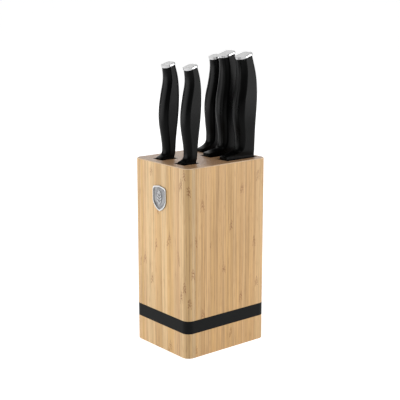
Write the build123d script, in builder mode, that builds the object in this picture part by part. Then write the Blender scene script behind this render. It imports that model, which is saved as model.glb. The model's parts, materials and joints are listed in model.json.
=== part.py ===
from build123d import *
from math import cos, radians, sin
import os

# Knife block with five knives, in millimetres.
#
# The block stands on the XY plane, centred on the Z axis, with its badge on the -Y face.
# It is glued up from vertical boards: between them they leave five wells, and each knife
# stands upright in its own well, edge towards the badge and spine towards the back.

# Block
block_width = 100.0
block_depth = 120.0
block_height = 223.0
corner_radius = 9.0
top_ease = 0.8
foot_proud = 0.3

left_face = -block_width / 2
right_face = block_width / 2
front_face = -block_depth / 2
back_face = block_depth / 2

# Rows of wells, from the badge side to the back
small_row_front = -48.0
small_row_back = -25.0
large_row_front = 7.0
short_well_front = 21.0
large_row_back = 54.0

# Wells of each row, as their left and right walls
paring_well = (-29.5, -11.0)
utility_well = (11.0, 29.5)
bread_well = (-40.0, -20.5)
santoku_well = (-10.0, 10.0)
chef_well = (20.5, 40.0)

# Base panel, let into the underside
panel_width = 88.0
panel_depth = 108.0
panel_radius = 4.0
panel_thickness = 8.0
panel_top = foot_proud + panel_thickness

# Anti-slip feet
foot_radius = 7.0
foot_recess = 1.5
foot_spacing_x = 66.0
foot_spacing_y = 86.0

# Black band let into the outside of the block
band_bottom = 30.0
band_height = 15.5
band_thickness = 2.0

# Shield badge on the front face
badge_width = 24.4
badge_bottom = 167.3
badge_height = 29.8
badge_side_start = 11.5
badge_peak = 1.6
badge_clip = 2.2
badge_plate_thickness = 0.7
badge_rim_width = 1.3
badge_rim_height = 0.5
badge_groove_inset = 2.2
badge_groove_width = 0.6
badge_groove_depth = 0.3
motif_height = 0.4
motif_width = 9.0
motif_length = 17.0
vein_width = 0.7
vein_depth = 0.3
vein_length = 5.2
vein_angle = 35.0
vein_spacing = 3.4

# Plastic slot guides, one in the mouth of each well
guide_height = 20.0
guide_wall = 0.6
guide_lower_wall = 1.4
guide_ledge_thickness = 2.0
guide_slit_width = 4.4
seat_depth = 6.0
seat_clearance = 0.4
slit_end_margin = 0.5

# Blades
blade_heel_margin = 0.6
edge_thickness = 0.3
tip_thickness_share = 0.45
serration_pitch = 6.0
serration_depth = 1.3
serration_radius = 4.2
serration_start = 12.0
serration_end = 24.0

# Knife handles
cap_tilt = 17.5
cap_thickness = 2.7
cap_edge = 0.5
cap_peg_radius = 1.3
cap_peg_length = 4.0
core_floor = 2.0
tang_top_gap = 12.0
core_corner = 1.2
spine_radius_share = 0.3
toe_nose = 1.2

# Handle cross-sections, as height above the block, reach forward of the foot's back end,
# reach behind it, and width. The last row is the top of the foot.
small_grip = (
    (116.0, 13.5, 0.4, 14.1),
    (108.0, 12.7, 1.6, 14.5),
    (103.0, 11.6, 3.2, 14.9),
    (97.0, 10.7, 4.7, 15.5),
    (89.0, 10.7, 5.9, 16.4),
    (80.0, 12.4, 6.4, 17.1),
    (70.0, 14.5, 6.6, 17.3),
    (60.0, 16.1, 6.2, 17.3),
    (50.0, 16.8, 5.4, 16.9),
    (42.0, 16.6, 4.6, 16.4),
    (34.0, 15.6, 3.6, 15.8),
    (27.0, 14.5, 2.8, 15.2),
    (20.5, 13.6, 2.2, 14.7),
    (15.0, 13.0, 1.8, 14.4),
    (10.5, 12.8, 1.5, 14.3),
    (7.2, 13.2, 1.2, 14.2),
    (5.0, 14.4, 1.0, 14.1),
    (3.5, 16.7, 0.7, 13.8),
    (2.4, 19.3, 0.4, 13.3),
    (1.6, 21.0, 0.0, 13.0),
)
medium_grip = (
    (121.0, 13.6, -1.4, 14.8),
    (112.0, 12.4, 0.3, 15.2),
    (104.0, 10.9, 2.3, 15.8),
    (97.0, 10.8, 3.7, 16.8),
    (87.0, 12.1, 4.3, 17.8),
    (78.0, 14.0, 4.7, 18.4),
    (69.0, 16.4, 4.7, 18.8),
    (59.0, 18.2, 4.1, 18.8),
    (50.0, 18.7, 3.1, 18.4),
    (41.0, 18.3, 2.3, 17.6),
    (31.0, 17.5, 1.6, 16.8),
    (21.0, 16.6, 1.0, 15.9),
    (13.0, 16.9, 0.8, 15.3),
    (8.8, 18.9, 0.6, 15.0),
    (6.2, 22.4, 0.5, 14.8),
    (4.5, 26.4, 0.3, 14.6),
    (3.3, 29.8, 0.1, 14.2),
    (2.5, 31.0, 0.0, 14.0),
)
large_grip = (
    (128.0, 24.4, -7.1, 16.2),
    (118.0, 23.3, -5.0, 16.7),
    (110.0, 21.7, -2.6, 17.1),
    (100.0, 20.8, -0.1, 18.4),
    (91.0, 21.3, 1.4, 19.3),
    (79.0, 22.9, 2.1, 20.3),
    (69.0, 24.8, 2.2, 20.8),
    (58.0, 25.8, 1.7, 20.8),
    (47.0, 25.9, 1.0, 20.3),
    (38.0, 24.8, 0.6, 19.2),
    (29.0, 23.5, 0.4, 18.0),
    (19.0, 23.0, 0.3, 17.0),
    (12.5, 23.6, 0.2, 16.4),
    (9.2, 25.2, 0.2, 16.2),
    (7.3, 28.2, 0.1, 16.0),
    (6.2, 32.4, 0.1, 15.8),
    (5.2, 37.4, 0.0, 15.6),
    (4.3, 42.0, 0.0, 15.4),
    (3.5, 44.5, 0.0, 15.2),
    (2.9, 45.0, 0.0, 15.0),
)


class Handle:
    """A handle size: its cross-sections, and the cap, core and tang that go with them."""

    def __init__(self, sections, top, cap, nose, toe_width, core, tang_width):
        self.sections = sections
        self.top = top
        self.cap = cap
        self.nose = nose
        self.toe_width = toe_width
        self.core_back, self.core_length, self.core_width = core
        self.core_middle = -self.core_back - self.core_length / 2
        self.tang_width = tang_width
        neck = min(sections[len(sections) // 2:], key=lambda section: section[1])
        self.neck_height, self.neck_reach = neck[:2]
        self.reach = sections[-1][1]


# Handle: sections, underside of the cap above the foot's back end, cap as reach forward,
# reach behind and width, depth of the rounded nose, toe width, core as distance in front of
# the foot's back end, length and width, and tang width
small_handle = Handle(small_grip, 108.7, (13.0, 1.9, 15.2), 5.0, 10.0, (1.0, 6.0, 6.0), 4.0)
medium_handle = Handle(medium_grip, 113.2, (12.8, 0.7, 16.0), 5.5, 11.0, (1.6, 7.0, 7.0), 5.0)
large_handle = Handle(large_grip, 121.2, (23.8, -4.6, 17.6), 6.0, 12.0, (6.6, 12.0, 9.0), 8.0)


class Knife:
    """A knife: the well that it stands in, its handle, and its blade's size and outline."""

    def __init__(self, name, well, row, handle, length, thickness, outline):
        self.name = name
        self.well = well
        self.row = row
        self.handle = handle
        self.length = length
        self.thickness = thickness
        self.outline = outline
        self.x = (well[0] + well[1]) / 2
        self.spine = row[1] - guide_wall - seat_clearance
        self.blade_back = self.spine - blade_heel_margin
        self.blade_front = self.spine - handle.reach + blade_heel_margin


seat = block_height - seat_depth
small_row = (small_row_front, small_row_back)
short_row = (short_well_front, large_row_back)
large_row = (large_row_front, large_row_back)

# Each outline: how far the tip lies in front of the spine, as a share of the blade's width,
# and where the spine and the cutting edge stop being straight, as shares of its length
knives = (
    Knife("paring", paring_well, small_row, small_handle, 90.0, 1.6, (0.30, 0.50, 0.45)),
    Knife("utility", utility_well, small_row, small_handle, 125.0, 1.6, (0.25, 0.60, 0.55)),
    Knife("bread", bread_well, short_row, medium_handle, 200.0, 2.0, (0.25, 0.86, 0.90)),
    Knife("santoku", santoku_well, large_row, large_handle, 175.0, 2.2, (0.70, 0.72, 0.66)),
    Knife("chef", chef_well, large_row, large_handle, 200.0, 2.4, (0.20, 0.62, 0.40)),
)


def save(part, name):
    """Label a finished piece and write it as its own file."""
    part.label = name
    export_step(part, f"parts/{name}.step")


# The glued-up block as one outer shape, with the band's groove and the base panel's rebate
with BuildPart() as block_envelope:
    with BuildSketch(Plane.XY.offset(foot_proud)):
        RectangleRounded(block_width, block_depth, corner_radius)
    extrude(amount=block_height - foot_proud)
    chamfer(block_envelope.edges().group_by(Axis.Z)[-1], top_ease)
    with BuildSketch(Plane.XY.offset(band_bottom)):
        RectangleRounded(block_width, block_depth, corner_radius)
        RectangleRounded(
            block_width - 2 * band_thickness,
            block_depth - 2 * band_thickness,
            corner_radius - band_thickness,
            mode=Mode.SUBTRACT,
        )
    extrude(amount=band_height, mode=Mode.SUBTRACT)
    with BuildSketch(Plane.XY.offset(foot_proud)):
        RectangleRounded(panel_width, panel_depth, panel_radius)
    extrude(amount=panel_thickness, mode=Mode.SUBTRACT)


def board(name, walls, row):
    """One full-height bamboo board between two X walls and the two ends of a row."""
    with BuildPart() as piece:
        with BuildSketch(Plane.XY.offset(foot_proud)):
            with Locations(((walls[0] + walls[1]) / 2, (row[0] + row[1]) / 2)):
                Rectangle(walls[1] - walls[0], row[1] - row[0])
        extrude(amount=block_height - foot_proud)
        add(block_envelope.part, mode=Mode.INTERSECT)
    save(piece.part, name)


def make_boards():
    """The boards from front to back; the gaps that they leave are the wells."""
    full_width = (left_face, right_face)
    board("front_board", full_width, (front_face, small_row_front))
    board("small_row_left_board", (left_face, paring_well[0]), small_row)
    board("small_row_middle_board", (paring_well[1], utility_well[0]), small_row)
    board("small_row_right_board", (utility_well[1], right_face), small_row)
    board("centre_board", full_width, (small_row_back, large_row_front))
    board("large_row_left_board", (left_face, bread_well[0]), large_row)
    board("large_row_left_divider", (bread_well[1], santoku_well[0]), large_row)
    board("large_row_right_divider", (santoku_well[1], chef_well[0]), large_row)
    board("large_row_right_board", (chef_well[1], right_face), large_row)
    board("bread_well_filler", bread_well, (large_row_front, short_well_front))
    board("back_board", full_width, (large_row_back, back_face))


def make_base():
    """Base panel with round recesses for the feet, and the four feet in one node."""
    with BuildPart() as base_panel:
        with BuildSketch(Plane.XY.offset(foot_proud)):
            RectangleRounded(panel_width, panel_depth, panel_radius)
        extrude(amount=panel_thickness)
        with BuildSketch(Plane.XY.offset(foot_proud)):
            with GridLocations(foot_spacing_x, foot_spacing_y, 2, 2):
                Circle(foot_radius)
        extrude(amount=foot_recess, mode=Mode.SUBTRACT)
    save(base_panel.part, "base_panel")
    with BuildPart() as feet:
        with BuildSketch():
            with GridLocations(foot_spacing_x, foot_spacing_y, 2, 2):
                Circle(foot_radius)
        extrude(amount=foot_proud + foot_recess)
    save(feet.part, "anti_slip_feet")


def make_band():
    """The black band, flush with the boards all the way round."""
    with BuildPart() as band:
        with BuildSketch(Plane.XY.offset(band_bottom)):
            RectangleRounded(block_width, block_depth, corner_radius)
            RectangleRounded(
                block_width - 2 * band_thickness,
                block_depth - 2 * band_thickness,
                corner_radius - band_thickness,
                mode=Mode.SUBTRACT,
            )
        extrude(amount=band_height)
    save(band.part, "black_band")


def shield_outline(plane, inset):
    """Shield: peaked top, clipped shoulders, straight sides, and arcs to a point below."""
    half = badge_width / 2 - inset
    bottom = badge_bottom + 1.25 * inset
    top = badge_bottom + badge_height - inset
    side_start = badge_bottom + badge_side_start
    shoulder = top - badge_peak
    with BuildSketch(plane) as outline:
        with BuildLine():
            Polyline(
                (half, side_start),
                (half, shoulder - badge_clip),
                (half - badge_clip, shoulder),
                (0, top),
                (badge_clip - half, shoulder),
                (-half, shoulder - badge_clip),
                (-half, side_start),
            )
            ThreePointArc((-half, side_start), (-0.66 * half, bottom + 4.4), (0, bottom))
            ThreePointArc((0, bottom), (0.66 * half, bottom + 4.4), (half, side_start))
        make_face()
    return outline.sketch


def badge_field():
    """The plane of the badge's field, looking out from the front face."""
    front = Plane(origin=(0, front_face, 0), x_dir=(1, 0, 0), z_dir=(0, -1, 0))
    return front.offset(badge_plate_thickness)


def make_badge():
    """Shield plate with a raised rim and a fine groove inside it."""
    field = badge_field()
    groove_inner = badge_groove_inset + badge_groove_width
    with BuildPart() as badge:
        extrude(shield_outline(field, 0), amount=-badge_plate_thickness)
        extrude(shield_outline(field, 0), amount=badge_rim_height)
        extrude(
            shield_outline(field, badge_rim_width),
            amount=badge_rim_height,
            mode=Mode.SUBTRACT,
        )
        groove = shield_outline(field, badge_groove_inset) - shield_outline(field, groove_inner)
        extrude(groove, amount=-badge_groove_depth, mode=Mode.SUBTRACT)
    save(badge.part, "badge_shield")


def make_motif():
    """Plain leaf standing on the badge's field, with a midrib and side veins cut into it."""
    field = badge_field()
    middle = badge_bottom + badge_height / 2 + 1.0
    bottom_point = (0, middle - motif_length / 2)
    top_point = (0, middle + motif_length / 2)
    vein_reach = vein_length / 2 * cos(radians(vein_angle))
    with BuildPart() as motif:
        with BuildSketch(field):
            with BuildLine():
                ThreePointArc(bottom_point, (motif_width / 2, middle), top_point)
                ThreePointArc(top_point, (-motif_width / 2, middle), bottom_point)
            make_face()
        extrude(amount=motif_height)
        with BuildSketch(field.offset(motif_height)):
            with Locations((0, middle)):
                Rectangle(vein_width, 0.76 * motif_length)
            for side in (-1, 1):
                with Locations((side * vein_reach, middle)):
                    with GridLocations(0, vein_spacing, 1, 3):
                        Rectangle(vein_length, vein_width, rotation=side * vein_angle)
        extrude(amount=-vein_depth, mode=Mode.SUBTRACT)
    save(motif.part, "badge_motif")


def make_guide(knife):
    """Plastic guide: a lined mouth, a ledge for the handle's foot, and a slit for the blade."""
    mouth_width = knife.well[1] - knife.well[0]
    mouth_length = knife.row[1] - knife.row[0]
    middle = (knife.row[0] + knife.row[1]) / 2
    slit_length = mouth_length - 2 * (guide_wall + slit_end_margin)
    skirt_height = guide_height - seat_depth
    pocket_width = (mouth_width - guide_slit_width) / 2 - 2 * guide_lower_wall
    pocket_offset = (guide_slit_width + pocket_width) / 2 + guide_lower_wall
    pocket_length = mouth_length - 2 * guide_lower_wall
    underside = Plane(origin=(knife.x, middle, block_height - guide_height))
    with BuildPart() as guide:
        with BuildSketch(underside):
            Rectangle(mouth_width, mouth_length)
        extrude(amount=guide_height)
        with BuildSketch(underside.offset(skirt_height)):
            Rectangle(mouth_width - 2 * guide_wall, mouth_length - 2 * guide_wall)
        extrude(amount=seat_depth, mode=Mode.SUBTRACT)
        with BuildSketch(underside):
            Rectangle(guide_slit_width, slit_length)
        extrude(amount=skirt_height, mode=Mode.SUBTRACT)
        with BuildSketch(underside):
            with Locations((pocket_offset, 0), (-pocket_offset, 0)):
                Rectangle(pocket_width, pocket_length)
        extrude(amount=skirt_height - guide_ledge_thickness, mode=Mode.SUBTRACT)
    save(guide.part, f"{knife.name}_slot_guide")


def blade_outline(knife):
    """Side view of the blade: straight heel, straight spine and edge, and curves to the tip."""
    tip_drop, spine_share, edge_share = knife.outline
    back = knife.blade_back
    front = knife.blade_front
    tip_y = back - tip_drop * (back - front)
    tip_z = seat - knife.length
    spine_z = seat - spine_share * knife.length
    edge_z = seat - edge_share * knife.length
    with BuildSketch(Plane.YZ.offset(knife.x)) as outline:
        with BuildLine():
            Polyline((back, spine_z), (back, seat), (front, seat), (front, edge_z))
            Bezier(
                (front, edge_z),
                (front, edge_z + 0.5 * (tip_z - edge_z)),
                (front + 0.42 * (tip_y - front), tip_z + 0.12 * (edge_z - tip_z)),
                (tip_y, tip_z),
            )
            Bezier((tip_y, tip_z), (back, tip_z + 0.45 * (spine_z - tip_z)), (back, spine_z))
        make_face()
    return outline.sketch


def blade_taper(knife, height, share):
    """Wedge-shaped cross-section of the grind, thick at the spine and thin at the edge."""
    half_spine = share * knife.thickness / 2
    half_edge = edge_thickness / 2
    with BuildSketch(Plane.XY.offset(height)) as section:
        Polygon(
            (knife.x - half_edge, knife.blade_front),
            (knife.x + half_edge, knife.blade_front),
            (knife.x + half_spine, knife.blade_back),
            (knife.x - half_spine, knife.blade_back),
            align=None,
        )
    return section.sketch


def serration_places(knife):
    """Centres of the scallops along a straight cutting edge."""
    centre_y = knife.blade_front + serration_depth - serration_radius
    length = knife.length - serration_start - serration_end
    count = int(length // serration_pitch) + 1
    top = seat - serration_start
    return [(centre_y, top - number * serration_pitch) for number in range(count)]


def tang_outline(knife):
    """Cross-section of the tang, at the blade's heel."""
    with BuildSketch(Plane(origin=(knife.x, knife.spine, seat))) as outline:
        with Locations((0, knife.handle.core_middle)):
            Rectangle(knife.thickness, knife.handle.tang_width)
    return outline.sketch


def tang_length(knife):
    """How far the tang reaches above the blade's heel."""
    return knife.handle.top + seat_depth - tang_top_gap


def make_blade(knife):
    """Tapered blade with its tang; the bread knife's edge is scalloped."""
    with BuildPart() as blade:
        extrude(blade_outline(knife), amount=knife.thickness, both=True)
        taper = [
            blade_taper(knife, seat, 1.0),
            blade_taper(knife, seat - knife.length, tip_thickness_share),
        ]
        loft(sections=taper, ruled=True, mode=Mode.INTERSECT)
        if knife.name == "bread":
            with BuildSketch(Plane.YZ.offset(knife.x)):
                with Locations(serration_places(knife)):
                    Circle(serration_radius)
            extrude(amount=knife.thickness, both=True, mode=Mode.SUBTRACT)
        extrude(tang_outline(knife), amount=tang_length(knife))
    save(blade.part, f"{knife.name}_blade")


def handle_section(handle, plane, height, front, back, width):
    """Handle cross-section, with the foot's back end at the plane's origin.

    Rounded spine corners run into flat sides, which meet the rounded nose in a crease.
    Below the neck the nose narrows and sharpens into the toe of the foot.
    """
    flare = 0.0
    if height < handle.neck_height:
        flare = (front - handle.neck_reach) / (handle.reach - handle.neck_reach)
    nose = handle.nose + (toe_nose - handle.nose) * flare
    half_back = width / 2
    half_front = (width + (handle.toe_width - width) * flare) / 2
    crease = nose - front
    radius = spine_radius_share * width
    corner_y = back - radius
    corner_x = half_back - radius
    arc_x = corner_x + radius * sin(radians(45))
    arc_y = corner_y + radius * cos(radians(45))
    with BuildSketch(plane) as section:
        with BuildLine():
            Line((half_back, corner_y), (half_front, crease))
            Bezier(
                (half_front, crease),
                (0.94 * half_front, crease - 0.55 * nose),
                (0.55 * half_front, -front),
                (0, -front),
            )
            Bezier(
                (0, -front),
                (-0.55 * half_front, -front),
                (-0.94 * half_front, crease - 0.55 * nose),
                (-half_front, crease),
            )
            Line((-half_front, crease), (-half_back, corner_y))
            ThreePointArc((-half_back, corner_y), (-arc_x, arc_y), (-corner_x, back))
            Line((-corner_x, back), (corner_x, back))
            ThreePointArc((corner_x, back), (arc_x, arc_y), (half_back, corner_y))
        make_face()
    return section.sketch


def grip_section(knife, row):
    """One row of the handle's table as a section at its height."""
    plane = Plane(origin=(knife.x, knife.spine, block_height + row[0]))
    return handle_section(knife.handle, plane, *row)


def cap_underside(knife):
    """Sloping plane on which the cap sits, rising towards the spine."""
    slope = radians(cap_tilt)
    origin = (knife.x, knife.spine, block_height + knife.handle.top)
    return Plane(origin=origin, x_dir=(1, 0, 0), z_dir=(0, -sin(slope), cos(slope)))


def core_outline(knife):
    """Cross-section of the core, at its foot."""
    with BuildSketch(Plane(origin=(knife.x, knife.spine, seat + core_floor))) as outline:
        with Locations((0, knife.handle.core_middle)):
            RectangleRounded(knife.handle.core_width, knife.handle.core_length, core_corner)
    return outline.sketch


def cap_peg(knife):
    """Circle of the cap's peg on the cap's underside."""
    with BuildSketch(cap_underside(knife)) as circle:
        with Locations((0, knife.handle.core_middle)):
            Circle(cap_peg_radius)
    return circle.sketch


def make_grip(knife):
    """Soft over-moulded grip with its foot, hollow for the core and slotted for the tang."""
    handle = knife.handle
    foot_top = handle.sections[-1]
    core_length = handle.top + seat_depth + 2 * cap_thickness
    with BuildPart() as grip:
        loft(sections=[grip_section(knife, row) for row in handle.sections])
        extrude(grip_section(knife, foot_top), amount=-foot_top[0] - seat_depth)
        split(bisect_by=cap_underside(knife), keep=Keep.BOTTOM)
        extrude(core_outline(knife), amount=core_length, mode=Mode.SUBTRACT)
        extrude(tang_outline(knife), amount=core_floor, mode=Mode.SUBTRACT)
    save(grip.part, f"{knife.name}_grip")


def make_core(knife):
    """Hard core around the tang, cut off along the cap's underside."""
    handle = knife.handle
    core_length = handle.top + seat_depth + 2 * cap_thickness
    with BuildPart() as core:
        extrude(core_outline(knife), amount=core_length)
        split(bisect_by=cap_underside(knife), keep=Keep.BOTTOM)
        extrude(tang_outline(knife), amount=tang_length(knife), mode=Mode.SUBTRACT)
        extrude(cap_peg(knife), amount=-cap_peg_length, mode=Mode.SUBTRACT)
    save(core.part, f"{knife.name}_handle_core")


def make_cap(knife):
    """Steel end cap with an eased top edge and a peg into the core."""
    plane = cap_underside(knife)
    front, back, width = knife.handle.cap
    with BuildPart() as cap:
        section = handle_section(knife.handle, plane, knife.handle.top, front, back, width)
        extrude(section, amount=cap_thickness)
        chamfer(cap.faces().sort_by(Axis.Z)[-1].edges(), cap_edge)
        extrude(cap_peg(knife), amount=-cap_peg_length)
    save(cap.part, f"{knife.name}_end_cap")


def main():
    """Build and write every piece."""
    os.makedirs("parts", exist_ok=True)
    make_boards()
    make_base()
    make_band()
    make_badge()
    make_motif()
    for knife in knives:
        make_guide(knife)
        make_blade(knife)
        make_grip(knife)
        make_core(knife)
        make_cap(knife)


main()
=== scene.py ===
import json
import math

import bpy
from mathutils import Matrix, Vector


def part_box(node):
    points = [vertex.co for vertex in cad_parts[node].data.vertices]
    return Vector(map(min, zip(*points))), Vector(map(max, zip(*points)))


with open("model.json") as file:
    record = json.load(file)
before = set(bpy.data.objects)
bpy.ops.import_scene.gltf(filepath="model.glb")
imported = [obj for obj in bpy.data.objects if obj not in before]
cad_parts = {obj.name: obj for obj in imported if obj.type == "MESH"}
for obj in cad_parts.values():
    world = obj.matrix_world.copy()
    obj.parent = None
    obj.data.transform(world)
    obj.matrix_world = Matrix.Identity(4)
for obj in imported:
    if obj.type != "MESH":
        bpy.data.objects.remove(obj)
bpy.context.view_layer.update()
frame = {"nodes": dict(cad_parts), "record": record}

# Knife block with five knives. Lengths are in metres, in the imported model's own frame:
# +Z up, the badge on the -Y face.

nodes = frame["nodes"]
bodies = frame["record"]["behaviour"]["bodies"]
knife_names = [body[: -len("_knife")] for body in bodies if body.endswith("_knife")]
board_names = [name for name in bodies["block"] if "board" in name or "divider" in name]
board_names += ["bread_well_filler", "base_panel"]

block_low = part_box("front_board")[0]
block_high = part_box("back_board")[1]
block_top = block_high.z
block_middle = Vector((0.0, 0.0, block_top / 2))

MM = 0.001

# Camera: where it stands round the block, how far off, its lens, and where it aims
CAMERA_AZIMUTH = math.radians(50.73)
CAMERA_ELEVATION = math.radians(12.88)
CAMERA_DISTANCE = 1.2022
CAMERA_LENS = 90.3
CAMERA_SENSOR = 36.0
CAMERA_RAISE = 0.0584
CAMERA_LEFT = 0.00046
CAMERA_CLIP_END = 200.0

# Floor and lights
FLOOR_SIZE = 120.0
FLOOR_GLOW = 0.92
WORLD_LIGHT = 0.16
SOFTBOX_AIM_HEIGHT = 0.15

# Softboxes: name, azimuth in degrees, height, distance, size and power in watts
SOFTBOXES = (
    ("left_softbox", -32.0, 0.45, 1.6, (1.5, 1.2), 20.8),
    ("right_softbox", 132.0, 0.45, 1.6, (1.1, 1.2), 18.5),
    ("back_softbox", 230.0, 0.95, 2.2, (2.6, 1.6), 18.0),
    ("overhead_softbox", 60.0, 1.9, 0.4, (1.0, 1.0), 3.5),
)

# Bamboo: sizes
STRIP_WIDTH_X = 4.4 * MM
STRIP_WIDTH_Y = 4.8 * MM
LAYER_BLEND = 0.2 * MM
SEAM_WIDTH = 0.25 * MM
FIBRE_DEPTH = 0.06 * MM
NODE_SPACING = 0.13
NODE_HALF_HEIGHT = 3.5 * MM
NODE_FADE_HEIGHT = 6.5 * MM
NODE_SLOPE = 12.0 * MM
NODE_RAGGEDNESS = 8.0 * MM
NODE_WAVE = 3.6 * MM

# Bamboo: colours
STRIP_COLOURS = [
    (0.0, (0.445, 0.262, 0.104)),
    (0.18, (0.495, 0.308, 0.130)),
    (0.38, (0.540, 0.334, 0.122)),
    (0.58, (0.532, 0.326, 0.152)),
    (0.80, (0.575, 0.382, 0.184)),
    (1.0, (0.590, 0.412, 0.214)),
]
WARM_BAMBOO = (0.515, 0.302, 0.122)
FIBRE_BROWN = (0.330, 0.165, 0.052)
NODE_BROWN = (0.235, 0.098, 0.026)
END_GRAIN_BROWN = (0.62, 0.335, 0.190)
# Pale colour painted on the eased top edge as a painted highlight
EDGE_HIGHLIGHT_BAMBOO = (0.80, 0.60, 0.40)

# How far each board's strips are drawn towards the warm colour
BOARD_WARMTH = 0.5
WARMTHS = {"centre_board": 0.62, "front_board": 0.0, "back_board": 0.3}

# Layers of the front board: how far behind its face each one starts, and its colour
FRONT_LAYERS = (
    (1.4 * MM, (0.545, 0.352, 0.158)),
    (7.4 * MM, (0.545, 0.370, 0.190)),
)


# ---------------------------------------------------------------- shader graph helpers


class Graph:
    """A material's node tree, with short calls for the nodes that the materials use."""

    def __init__(self, name):
        self.material = bpy.data.materials.new(name)
        self.material.use_nodes = True
        self.tree = self.material.node_tree
        self.shader = self.tree.nodes["Principled BSDF"]
        self.coordinates = self.tree.nodes.new("ShaderNodeTexCoord").outputs["Object"]
        geometry = self.tree.nodes.new("ShaderNodeNewGeometry")
        self.normal = geometry.outputs["Normal"]

    def feed(self, socket, value):
        """Link an output into a socket, or set the socket to a constant."""
        if isinstance(value, bpy.types.NodeSocket):
            self.tree.links.new(value, socket)
        else:
            socket.default_value = value

    def math(self, operation, first, second=0.0, third=0.0):
        node = self.tree.nodes.new("ShaderNodeMath")
        node.operation = operation
        for socket, value in zip(node.inputs, (first, second, third)):
            self.feed(socket, value)
        return node.outputs[0]

    def product(self, *factors):
        """All the factors multiplied together."""
        total = factors[0]
        for factor in factors[1:]:
            total = self.math("MULTIPLY", total, factor)
        return total

    def opposite(self, share):
        """1 minus a share."""
        return self.math("SUBTRACT", 1.0, share)

    def split(self, vector):
        node = self.tree.nodes.new("ShaderNodeSeparateXYZ")
        self.feed(node.inputs[0], vector)
        return node.outputs

    def join(self, x, y, z):
        node = self.tree.nodes.new("ShaderNodeCombineXYZ")
        for socket, value in zip(node.inputs, (x, y, z)):
            self.feed(socket, value)
        return node.outputs[0]

    def stretched(self, per_x, per_y, per_z, shift=0.0):
        """Object coordinates with their own scale along each axis."""
        x, y, z = self.split(self.coordinates)
        return self.join(
            self.math("MULTIPLY_ADD", x, per_x, shift),
            self.math("MULTIPLY_ADD", y, per_y, shift),
            self.math("MULTIPLY_ADD", z, per_z, shift),
        )

    def noise(self, vector, scale=1.0, detail=2.0, roughness=0.5):
        node = self.tree.nodes.new("ShaderNodeTexNoise")
        self.feed(node.inputs["Vector"], vector)
        node.inputs["Scale"].default_value = scale
        node.inputs["Detail"].default_value = detail
        node.inputs["Roughness"].default_value = roughness
        return node.outputs["Fac"]

    def cells(self, value, feature="F1"):
        """One-dimensional cells of random width, as their node's outputs."""
        node = self.tree.nodes.new("ShaderNodeTexVoronoi")
        node.voronoi_dimensions = "1D"
        node.feature = feature
        self.feed(node.inputs["W"], value)
        node.inputs["Scale"].default_value = 1.0
        return node.outputs

    def random(self, vector):
        node = self.tree.nodes.new("ShaderNodeTexWhiteNoise")
        node.noise_dimensions = "3D"
        self.feed(node.inputs["Vector"], vector)
        return node.outputs

    def ramp(self, value, low, high, out_low=0.0, out_high=1.0):
        """Smooth step of a value from one range to another."""
        node = self.tree.nodes.new("ShaderNodeMapRange")
        node.interpolation_type = "SMOOTHSTEP"
        for socket, number in zip(node.inputs, (value, low, high, out_low, out_high)):
            self.feed(socket, number)
        return node.outputs[0]

    def colours(self, value, stops):
        """Colour ramp from a list of (place, colour)."""
        node = self.tree.nodes.new("ShaderNodeValToRGB")
        elements = node.color_ramp.elements
        while len(elements) < len(stops):
            elements.new(0.5)
        for element, (place, colour) in zip(elements, stops):
            element.position = place
            element.color = (*colour, 1.0)
        self.feed(node.inputs[0], value)
        return node.outputs[0]

    def mix(self, share, first, second, blend="MIX"):
        node = self.tree.nodes.new("ShaderNodeMix")
        node.data_type = "RGBA"
        node.blend_type = blend
        self.feed(node.inputs[0], share)
        for socket, value in ((node.inputs[6], first), (node.inputs[7], second)):
            self.feed(socket, (*value, 1.0) if isinstance(value, tuple) else value)
        return node.outputs[2]

    def grey(self, value):
        node = self.tree.nodes.new("ShaderNodeCombineColor")
        for socket in node.inputs[:3]:
            self.feed(socket, value)
        return node.outputs[0]

    def shaded(self, colour, shade):
        """A colour multiplied by a grey value."""
        return self.mix(1.0, colour, self.grey(shade), "MULTIPLY")

    def facing(self, axis, low, high):
        """1 where the surface faces along an axis, either way, and 0 where it doesn't."""
        component = self.split(self.normal)["XYZ".index(axis)]
        return self.ramp(self.math("ABSOLUTE", component), low, high)

    def bump(self, height, distance, strength):
        node = self.tree.nodes.new("ShaderNodeBump")
        node.inputs["Strength"].default_value = strength
        node.inputs["Distance"].default_value = distance
        self.feed(node.inputs["Height"], height)
        self.feed(self.shader.inputs["Normal"], node.outputs[0])

    def finish(self, **inputs):
        """Feed the shader's sockets by name, with _ for spaces, and return the material."""
        for name, value in inputs.items():
            self.feed(self.shader.inputs[name.replace("_", " ")], value)
        return self.material


def noise_stops(low, high):
    """Colour ramp stops from one colour to another, over the middle of a noise's range."""
    return [(0.3, low), (0.7, high)]


# ---------------------------------------------------------------- bamboo


class Strips:
    """Upright strips of random width, side by side along X and along Y."""

    def __init__(self, graph, seed):
        x, y, _ = graph.split(graph.coordinates)
        wander = graph.noise(graph.stretched(9.0, 9.0, 5.0, seed), detail=0.0)
        sway = graph.math("MULTIPLY_ADD", wander, 0.6, -0.3)
        along_x = graph.math("MULTIPLY_ADD", x, 1 / STRIP_WIDTH_X, seed * 7.3)
        along_y = graph.math("MULTIPLY_ADD", y, 1 / STRIP_WIDTH_Y, seed * 3.1)
        self.along_x = graph.math("ADD", along_x, sway)
        self.along_y = graph.math("ADD", along_y, sway)
        cells_x = graph.cells(self.along_x)
        cells_y = graph.cells(self.along_y)
        self.off_x = cells_x["Distance"]
        self.off_y = cells_y["Distance"]
        red_x = graph.split(cells_x["Color"])[0]
        red_y = graph.split(cells_y["Color"])[0]
        chance = graph.random(graph.join(red_x, red_y, seed))
        self.tone = chance["Value"]
        self.node_shift, self.node_chance, _ = graph.split(chance["Color"])


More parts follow.
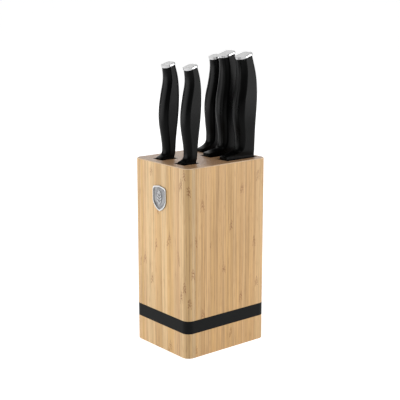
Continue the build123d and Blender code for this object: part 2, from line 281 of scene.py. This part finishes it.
def strip_colours(graph, strips, warmth, layers):
    """Each strip's own tone, drawn towards the warm colour, and the layers over it."""
    colour = graph.mix(warmth, graph.colours(strips.tone, STRIP_COLOURS), WARM_BAMBOO)
    y = graph.split(graph.coordinates)[1]
    for start, layer_colour in layers:
        share = graph.ramp(y, start - LAYER_BLEND, start + LAYER_BLEND)
        colour = graph.mix(share, colour, layer_colour)
    return colour


def dark_fibres(graph, fibres, seed):
    """Share of brown: the darkest long fibres, and short dashes between them."""
    dashes = graph.noise(graph.stretched(760.0, 760.0, 70.0, seed + 4.0), detail=2.0)
    darker = graph.math("ADD", graph.ramp(fibres, 0.52, 0.30), graph.ramp(dashes, 0.54, 0.74))
    return graph.math("MULTIPLY", darker, 0.38)


def fibre_shade(graph, fibres, seed):
    """Light and dark of the long fibres, with slow clouds over them."""
    drift = graph.noise(graph.stretched(14.0, 14.0, 8.0, seed + 9.0), detail=1.0)
    cloud = graph.ramp(drift, 0.3, 0.7, 0.95, 1.05)
    return graph.math("MULTIPLY", graph.ramp(fibres, 0.34, 0.66, 0.88, 1.15), cloud)


def node_marks(graph, strips, seed):
    """Share of node mark: arrowheads of darker fibres across a strip, here and there."""
    z = graph.split(graph.coordinates)[2]
    across_front = graph.facing("Y", 0.6, 0.8)
    off_middle = graph.math(
        "ADD",
        graph.math("MULTIPLY", strips.off_x, across_front),
        graph.math("MULTIPLY", strips.off_y, graph.opposite(across_front)),
    )
    ragged = graph.noise(graph.stretched(700.0, 700.0, 160.0, seed + 2.0), detail=2.0)
    place = graph.math("FRACT", graph.math("MULTIPLY_ADD", z, 1 / NODE_SPACING, strips.node_shift))
    height = graph.math("MULTIPLY_ADD", place, NODE_SPACING, -NODE_SPACING / 2)
    height = graph.math("ADD", height, graph.math("MULTIPLY", off_middle, NODE_SLOPE))
    tear = graph.math("MULTIPLY_ADD", ragged, NODE_RAGGEDNESS, -NODE_RAGGEDNESS / 2)
    height = graph.math("ADD", height, tear)
    away = graph.math("ABSOLUTE", height)
    window = graph.ramp(away, NODE_HALF_HEIGHT, NODE_FADE_HEIGHT, 1.0, 0.0)
    wave = graph.math("SINE", graph.math("MULTIPLY", height, 2 * math.pi / NODE_WAVE))
    chevron = graph.ramp(wave, -0.3, 0.5)
    rare = graph.ramp(strips.node_chance, 0.62, 0.64)
    torn = graph.ramp(ragged, 0.32, 0.48)
    return graph.product(window, rare, torn, chevron, 0.9)


def glue_lines(graph, strips, walls):
    """Darkening along the joints between strips, and along the board's own walls."""
    y = graph.split(graph.coordinates)[1]
    lines = []
    for along in (strips.along_x, strips.along_y):
        edge = graph.cells(along, "DISTANCE_TO_EDGE")["Distance"]
        lines.append(graph.ramp(edge, 0.0, 0.07, 0.95, 1.0))
    for wall in walls:
        away = graph.math("ABSOLUTE", graph.math("SUBTRACT", y, wall))
        lines.append(graph.ramp(away, 0.0, SEAM_WIDTH, 0.72, 1.0))
    return graph.product(*lines)


def end_grain(graph, base, seams):
    """Browner wood speckled with fibre ends."""
    specks = graph.noise(graph.coordinates, scale=650.0, detail=3.0)
    speck_shade = graph.ramp(specks, 0.34, 0.66, 1.22, 0.74)
    colour = graph.mix(0.5, base, END_GRAIN_BROWN)
    return graph.shaded(graph.shaded(colour, speck_shade), seams)


def eased_edge(graph):
    """1 on the chamfer round the top, and 0 on the faces beside it."""
    tilt = graph.math("ABSOLUTE", graph.split(graph.normal)[2])
    return graph.product(graph.ramp(tilt, 0.45, 0.6), graph.ramp(tilt, 0.8, 0.95, 1.0, 0.0))


def bamboo(name, seed, walls, warmth, layers):
    """Laminated bamboo: fibrous strips with a few node marks, and end grain on top."""
    graph = Graph(name)
    strips = Strips(graph, seed)
    fibres = graph.noise(graph.stretched(430.0, 430.0, 7.0, seed), detail=5.0, roughness=0.66)
    base = strip_colours(graph, strips, warmth, layers)
    base = graph.mix(dark_fibres(graph, fibres, seed), base, FIBRE_BROWN)
    marked = graph.mix(node_marks(graph, strips, seed), base, NODE_BROWN)
    seams = glue_lines(graph, strips, walls)
    shade = graph.product(fibre_shade(graph, fibres, seed), seams)
    # The eased top edge is painted paler than the faces: a painted highlight along the chamfer
    with_edge_highlight = graph.mix(eased_edge(graph), graph.shaded(marked, shade), EDGE_HIGHLIGHT_BAMBOO)
    upward = graph.facing("Z", 0.75, 0.9)
    roughness = graph.ramp(fibres, 0.2, 0.8, 0.56, 0.44)
    graph.bump(shade, FIBRE_DEPTH, 0.6)
    return graph.finish(
        Base_Color=graph.mix(upward, with_edge_highlight, end_grain(graph, base, seams)),
        Roughness=graph.math("MULTIPLY_ADD", upward, -0.08, roughness),
        Specular_IOR_Level=0.4,
        Coat_Weight=0.06,
        Coat_Roughness=0.35,
    )


# ---------------------------------------------------------------- rubber, plastic and metal


def soft_grip():
    """Black soft-touch rubber with a very fine moulded grain."""
    graph = Graph("soft_grip")
    grain = graph.noise(graph.coordinates, scale=5200.0, detail=2.0, roughness=0.6)
    wear = graph.noise(graph.coordinates, scale=38.0, detail=3.0)
    graph.bump(grain, 0.03 * MM, 0.5)
    return graph.finish(
        Base_Color=graph.colours(wear, noise_stops((0.0012, 0.0013, 0.0013), (0.0018, 0.0020, 0.0020))),
        Roughness=graph.ramp(wear, 0.3, 0.7, 0.27, 0.32),
        Specular_IOR_Level=0.07,
    )


def matte_black(name, colour, roughness, grain_scale, grain_depth):
    """Matte black plastic or rubber with a fine grain."""
    graph = Graph(name)
    grain = graph.noise(graph.coordinates, scale=grain_scale, detail=3.0, roughness=0.6)
    low = tuple(0.8 * part for part in colour)
    high = tuple(1.25 * part for part in colour)
    graph.bump(grain, grain_depth, 0.6)
    return graph.finish(
        Base_Color=graph.colours(grain, noise_stops(low, high)),
        Roughness=graph.ramp(grain, 0.3, 0.7, roughness - 0.06, roughness + 0.06),
        Specular_IOR_Level=0.09,
    )


def end_cap_steel():
    """Satin end face with cloudy sheen, and a polished rim round it."""
    graph = Graph("end_cap_steel")
    upward = graph.ramp(graph.split(graph.normal)[2], 0.88, 0.94)
    clouds = graph.noise(graph.coordinates, scale=420.0, detail=3.0, roughness=0.7)
    scratches = graph.noise(graph.stretched(400.0, 3600.0, 3600.0), detail=2.0)
    satin = graph.ramp(clouds, 0.3, 0.7, 0.30, 0.44)
    polished = graph.ramp(scratches, 0.3, 0.7, 0.26, 0.36)
    face = graph.colours(clouds, noise_stops((0.49, 0.49, 0.49), (0.68, 0.68, 0.675)))
    graph.bump(scratches, 0.01 * MM, 0.3)
    return graph.finish(
        Base_Color=graph.mix(upward, (0.50, 0.50, 0.505), face),
        Metallic=1.0,
        Roughness=graph.math(
            "ADD",
            graph.math("MULTIPLY", satin, upward),
            graph.math("MULTIPLY", polished, graph.opposite(upward)),
        ),
    )


def blade_steel(name, edge):
    """Ground steel: brush lines from spine to edge, and a brighter honed edge."""
    graph = Graph(name)
    y = graph.split(graph.coordinates)[1]
    lines = graph.noise(graph.stretched(60.0, 60.0, 5200.0), detail=2.0, roughness=0.6)
    broad = graph.noise(graph.stretched(40.0, 40.0, 900.0), detail=1.0)
    brush = graph.math("ADD", graph.math("MULTIPLY", lines, 0.7), graph.math("MULTIPLY", broad, 0.3))
    brushed = graph.colours(brush, noise_stops((0.30, 0.303, 0.308), (0.42, 0.423, 0.428)))
    honed = graph.ramp(y, edge + 0.9 * MM, edge + 1.3 * MM, 1.0, 0.0)
    graph.bump(lines, 0.012 * MM, 0.5)
    return graph.finish(
        Base_Color=graph.mix(honed, brushed, (0.58, 0.58, 0.585)),
        Metallic=1.0,
        Roughness=graph.ramp(lines, 0.3, 0.7, 0.24, 0.36),
        Anisotropic=0.5,
    )


def badge_steel(name, field, raised, raised_y):
    """Cast badge metal, cloudy on the field and polished on whatever stands proud of it."""
    graph = Graph(name)
    y = graph.split(graph.coordinates)[1]
    polish = graph.ramp(y, raised_y - 0.1 * MM, raised_y + 0.1 * MM, 1.0, 0.0)
    clouds = graph.noise(graph.coordinates, scale=170.0, detail=2.0)
    grain = graph.noise(graph.coordinates, scale=1400.0, detail=3.0, roughness=0.65)
    low = tuple(0.6 * part for part in field)
    graph.bump(grain, 0.02 * MM, 0.4)
    return graph.finish(
        Base_Color=graph.mix(polish, graph.colours(clouds, [(0.35, low), (0.65, field)]), raised),
        Metallic=1.0,
        Roughness=graph.math("MULTIPLY_ADD", polish, -0.12, graph.ramp(grain, 0.3, 0.7, 0.30, 0.42)),
    )


def floor_material():
    """Studio floor: a matte mid grey that glows enough to look nearly white."""
    graph = Graph("studio_floor")
    cloud = graph.noise(graph.coordinates, scale=3.0, detail=2.0)
    return graph.finish(
        Base_Color=graph.colours(cloud, noise_stops((0.49, 0.49, 0.49), (0.51, 0.51, 0.51))),
        Roughness=0.8,
        Specular_IOR_Level=0.1,
        Emission_Color=(1.0, 1.0, 1.0, 1.0),
        Emission_Strength=FLOOR_GLOW,
    )


# ---------------------------------------------------------------- painting the CAD nodes


def paint(name, material):
    """Give a CAD node one material."""
    mesh = nodes[name].data
    mesh.materials.clear()
    mesh.materials.append(material)


def paint_boards():
    """Bamboo boards, each with its own strips."""
    for number, name in enumerate(board_names):
        low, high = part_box(name)
        walls = [wall for wall in (low.y, high.y) if abs(abs(wall) - block_high.y) > MM]
        layers = []
        if name == "front_board":
            layers = [(block_low.y + depth, colour) for depth, colour in FRONT_LAYERS]
        warmth = WARMTHS.get(name, BOARD_WARMTH)
        paint(name, bamboo(f"bamboo_{name}", 1.7 + 2.9 * number, walls, warmth, layers))


def paint_fittings():
    """The block's black parts."""
    paint("black_band", matte_black("band", (0.0040, 0.0043, 0.0044), 0.5, 2600.0, 0.02 * MM))
    paint("anti_slip_feet", matte_black("foot_rubber", (0.02, 0.02, 0.02), 0.75, 1800.0, 0.05 * MM))
    guide = matte_black("slot_guide", (0.0025, 0.0025, 0.0025), 0.7, 1500.0, 0.03 * MM)
    for name in knife_names:
        paint(f"{name}_slot_guide", guide)


def paint_badge():
    """Shield and motif, each with its front polished and its field darker."""
    rim_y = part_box("badge_shield")[0].y + 0.2 * MM
    shield = badge_steel("badge_shield", (0.25, 0.25, 0.255), (0.50, 0.50, 0.495), rim_y)
    paint("badge_shield", shield)
    leaf_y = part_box("badge_motif")[0].y + 0.15 * MM
    motif = badge_steel("badge_motif", (0.08, 0.08, 0.085), (0.36, 0.36, 0.365), leaf_y)
    paint("badge_motif", motif)


def paint_knives():
    """Steel, soft grip, core and end cap of each knife."""
    grip = soft_grip()
    core = matte_black("handle_core", (0.02, 0.02, 0.02), 0.5, 1500.0, 0.02 * MM)
    cap = end_cap_steel()
    for name in knife_names:
        paint(f"{name}_blade", blade_steel(f"{name}_steel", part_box(f"{name}_blade")[0].y))
        paint(f"{name}_handle_core", core)
        paint(f"{name}_grip", grip)
        paint(f"{name}_end_cap", cap)


# ---------------------------------------------------------------- stage


def add_floor():
    bpy.ops.mesh.primitive_plane_add(size=FLOOR_SIZE, location=(0.0, 0.0, 0.0))
    floor = bpy.context.object
    floor.name = "floor"
    floor.data.materials.append(floor_material())


def camera_axes():
    """Unit vectors from the block towards the camera, to its right, and up."""
    flat = math.cos(CAMERA_ELEVATION)
    back = Vector(
        (
            flat * math.sin(CAMERA_AZIMUTH),
            -flat * math.cos(CAMERA_AZIMUTH),
            math.sin(CAMERA_ELEVATION),
        )
    )
    right = Vector((math.cos(CAMERA_AZIMUTH), math.sin(CAMERA_AZIMUTH), 0.0))
    return back, right, back.cross(right)


def add_camera():
    back, right, up = camera_axes()
    aim = block_middle - CAMERA_LEFT * right + CAMERA_RAISE * up
    camera = bpy.data.objects.new("camera", bpy.data.cameras.new("camera"))
    camera.location = aim + CAMERA_DISTANCE * back
    camera.rotation_euler = (-back).to_track_quat("-Z", "Y").to_euler()
    camera.data.lens = CAMERA_LENS
    camera.data.sensor_width = CAMERA_SENSOR
    camera.data.clip_end = CAMERA_CLIP_END
    bpy.context.scene.collection.objects.link(camera)
    bpy.context.scene.camera = camera


def add_softbox(name, azimuth, height, distance, size, power):
    """Rectangular area light round the block at an azimuth in degrees, aimed at the block."""
    angle = math.radians(azimuth)
    place = Vector((distance * math.sin(angle), -distance * math.cos(angle), height))
    light = bpy.data.objects.new(name, bpy.data.lights.new(name, "AREA"))
    light.data.shape = "RECTANGLE"
    light.data.size, light.data.size_y = size
    light.data.energy = power
    light.location = place
    direction = Vector((0.0, 0.0, SOFTBOX_AIM_HEIGHT)) - place
    light.rotation_euler = direction.to_track_quat("-Z", "Y").to_euler()
    bpy.context.scene.collection.objects.link(light)


def add_lights():
    """White surroundings, softboxes left, right and behind, and one overhead."""
    world = bpy.data.worlds.new("studio")
    world.use_nodes = True
    background = world.node_tree.nodes["Background"]
    background.inputs["Color"].default_value = (1.0, 1.0, 1.0, 1.0)
    background.inputs["Strength"].default_value = WORLD_LIGHT
    bpy.context.scene.world = world
    for softbox in SOFTBOXES:
        add_softbox(*softbox)


def main():
    bpy.context.scene.view_settings.view_transform = "Standard"
    paint_boards()
    paint_fittings()
    paint_badge()
    paint_knives()
    add_floor()
    add_camera()
    add_lights()


main()
